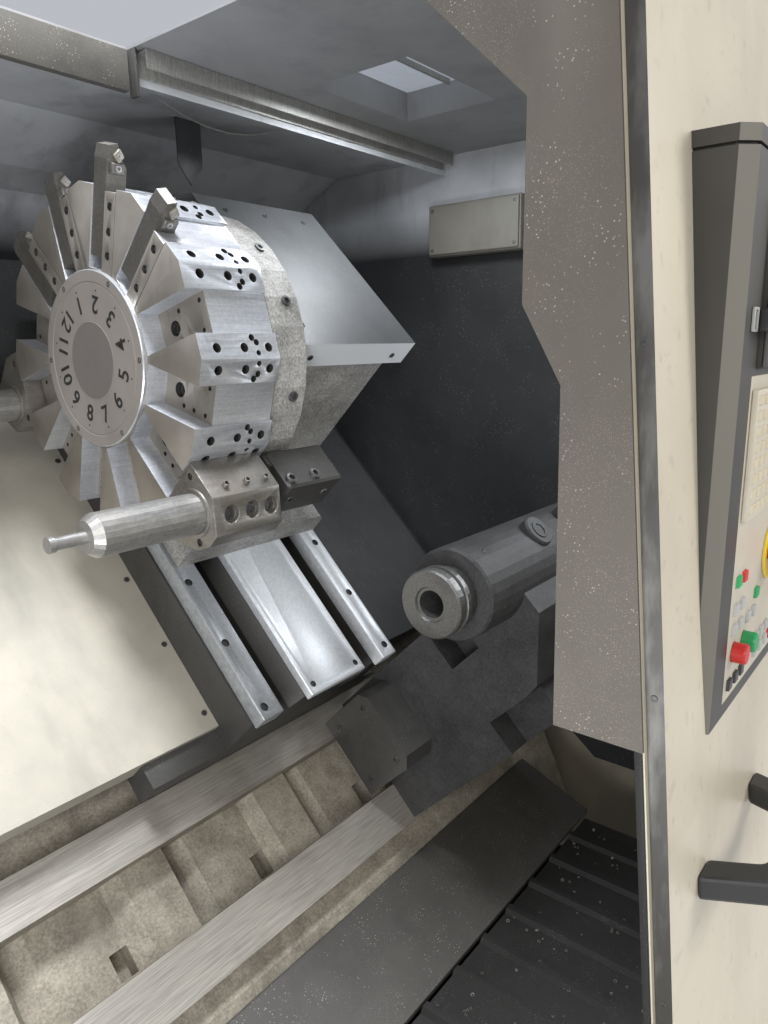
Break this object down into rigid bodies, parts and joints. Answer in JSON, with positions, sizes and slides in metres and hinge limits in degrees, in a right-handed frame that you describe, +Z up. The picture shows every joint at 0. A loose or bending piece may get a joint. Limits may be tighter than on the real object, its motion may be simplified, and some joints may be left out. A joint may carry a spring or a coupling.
{
  "type": "cnc turning lathe",
  "caption": "Enclosed slant-bed turning lathe with a chuck, a disc turret of fixed and boring tools, telescopic way covers, a tailstock, a chip conveyor and a sliding door.",
  "frame": {"origin": "on the floor, under the centre of the whole machine", "axes": "+X along the spindle axis towards the tailstock, +Y from the operator into the machine, +Z up"},
  "size_m": [3.9, 2.0406, 2.09],
  "materials": {
    "cast_iron": "rough cast, machined on the ways",
    "ground_steel": "ground",
    "dark_steel": "oiled and blackened",
    "cream_paint": "satin, oily",
    "grey_paint": "satin, speckled with chips",
    "black_motor": "satin",
    "belt_rubber": "matt",
    "black_plastic": "moulded",
    "window": "clear laminate",
    "red_plastic": "moulded",
    "green_plastic": "moulded",
    "white_plastic": "moulded"
  },
  "bodies": {
    "machine": {"bed_casting": "cast_iron", "headstock_casting": "cast_iron", "spindle_motor": "grey_paint", "drive_belt": "belt_rubber", "z_motor": "black_motor", "coolant_tank": "grey_paint", "conveyor_belt": "dark_steel", "left_cover": "cream_paint", "right_cover": "cream_paint", "roof_panel": "grey_paint", "rear_cover": "cream_paint", "rear_guard": "grey_paint", "left_wall": "grey_paint", "right_wall": "grey_paint", "jamb_plate": "grey_paint", "front_apron": "cream_paint", "door_header": "cream_paint"},
    "spindle": {"spindle": "ground_steel", "chuck_body": "ground_steel"},
    "jaw_1": {"jaw_1": "ground_steel"},
    "jaw_2": {"jaw_2": "ground_steel"},
    "jaw_3": {"jaw_3": "ground_steel"},
    "motor_pulley": {"motor_pulley": "dark_steel"},
    "z_screw": {"z_ball_screw": "ground_steel"},
    "carriage": {"saddle": "dark_steel", "cross_way_left": "ground_steel", "cross_way_right": "ground_steel", "cross_way_plate": "ground_steel", "left_way_cover": "cream_paint", "right_way_cover": "cream_paint", "x_motor": "black_motor"},
    "left_middle_cover": {"left_way_cover_mid": "cream_paint"},
    "right_middle_cover": {"right_way_cover_mid": "cream_paint"},
    "x_screw": {"x_ball_screw": "ground_steel"},
    "cross_slide": {"cross_slide": "cast_iron", "turret_housing": "cast_iron", "housing_cover": "grey_paint", "coolant_block": "dark_steel"},
    "turret": {"turret_disc": "ground_steel", "number_plate": "grey_paint", "turning_tool_1": "dark_steel", "turning_tool_2": "dark_steel", "turning_tool_3": "dark_steel", "turning_tool_4": "dark_steel", "boring_block_1": "ground_steel", "boring_block_2": "ground_steel", "boring_bar_1": "ground_steel", "boring_bar_2": "ground_steel"},
    "tailstock": {"tailstock_base": "cast_iron", "tailstock_body": "cast_iron", "tailstock_box_cover": "dark_steel"},
    "quill": {"quill": "ground_steel"},
    "door": {"door_panel": "cream_paint", "door_window": "window", "door_handle": "black_plastic", "control_box": "grey_paint"},
    "e_stop": {"e_stop": "red_plastic"},
    "start_button": {"start_button": "green_plastic"},
    "stop_button": {"stop_button": "red_plastic"},
    "feed_dial": {"feed_dial": "white_plastic"}
  },
  "joints": [
    {"name": "spindle_spin", "type": "hinge", "parent": "machine", "child": "spindle", "pos_m": [0, -0.42, 1.15], "axis": [1, 0, 0], "continuous": true},
    {"name": "motor_pulley_spin", "type": "hinge", "parent": "machine", "child": "motor_pulley", "pos_m": [0, 0.8, 0.47], "axis": [1, 0, 0], "continuous": true},
    {"name": "jaw_1_slide", "type": "slide", "parent": "spindle", "child": "jaw_1", "axis": [0, 0, 1], "range_m": [-0.008, 0]},
    {"name": "jaw_2_slide", "type": "slide", "parent": "spindle", "child": "jaw_2", "axis": [0, -0.866, -0.5], "range_m": [-0.008, 0]},
    {"name": "jaw_3_slide", "type": "slide", "parent": "spindle", "child": "jaw_3", "axis": [0, 0.866, -0.5], "range_m": [-0.008, 0]},
    {"name": "z_slide", "type": "slide", "parent": "machine", "child": "carriage", "axis": [1, 0, 0], "range_m": [-0.7, 0]},
    {"name": "z_screw_spin", "type": "hinge", "parent": "machine", "child": "z_screw", "pos_m": [0, 0.29418, 1.11465], "axis": [1, 0, 0], "range_deg": [-12605, 5]},
    {"name": "left_cover_slide", "type": "slide", "parent": "machine", "child": "left_middle_cover", "axis": [1, 0, 0], "range_m": [-0.351, 0.001]},
    {"name": "right_cover_slide", "type": "slide", "parent": "machine", "child": "right_middle_cover", "axis": [1, 0, 0], "range_m": [-0.351, 0.001]},
    {"name": "x_slide", "type": "slide", "parent": "carriage", "child": "cross_slide", "axis": [0, 0.7071, 0.7071], "range_m": [-0.28, 0]},
    {"name": "x_screw_spin", "type": "hinge", "parent": "carriage", "child": "x_screw", "pos_m": [0.98, -0.16756, 0.89756], "axis": [0, 0.7071, 0.7071], "range_deg": [-10085, 5]},
    {"name": "turret_index", "type": "hinge", "parent": "cross_slide", "child": "turret", "pos_m": [0.648, -0.00776, 1.56224], "axis": [1, 0, 0], "continuous": true},
    {"name": "tailstock_slide", "type": "slide", "parent": "machine", "child": "tailstock", "axis": [-1, 0, 0], "range_m": [0, 0.55]},
    {"name": "quill_slide", "type": "slide", "parent": "tailstock", "child": "quill", "axis": [-1, 0, 0], "range_m": [0, 0.1]},
    {"name": "door_slide", "type": "slide", "parent": "machine", "child": "door", "axis": [1, 0, 0], "range_m": [-1.18, 0]},
    {"name": "e_stop_press", "type": "slide", "parent": "door", "child": "e_stop", "axis": [0, -1, 0], "range_m": [-0.005, 0], "stiffness_N_per_m": 600},
    {"name": "start_button_press", "type": "slide", "parent": "door", "child": "start_button", "axis": [0, -1, 0], "range_m": [-0.003, 0], "stiffness_N_per_m": 600},
    {"name": "stop_button_press", "type": "slide", "parent": "door", "child": "stop_button", "axis": [0, -1, 0], "range_m": [-0.003, 0], "stiffness_N_per_m": 600},
    {"name": "feed_dial_turn", "type": "hinge", "parent": "door", "child": "feed_dial", "pos_m": [1.02, -0.937, 1.275], "axis": [0, -1, 0], "range_deg": [-135, 135]}
  ],
  "couplings": [
    {"joint": "motor_pulley_spin", "follows": "spindle_spin", "ratio": 1.5556},
    {"joint": "jaw_2_slide", "follows": "jaw_1_slide", "ratio": 1},
    {"joint": "jaw_3_slide", "follows": "jaw_1_slide", "ratio": 1},
    {"joint": "z_screw_spin", "follows": "z_slide", "rad_per_m": 314.16},
    {"joint": "left_cover_slide", "follows": "z_slide", "ratio": 0.5},
    {"joint": "right_cover_slide", "follows": "z_slide", "ratio": 0.5},
    {"joint": "x_screw_spin", "follows": "x_slide", "rad_per_m": 628.32}
  ]
}
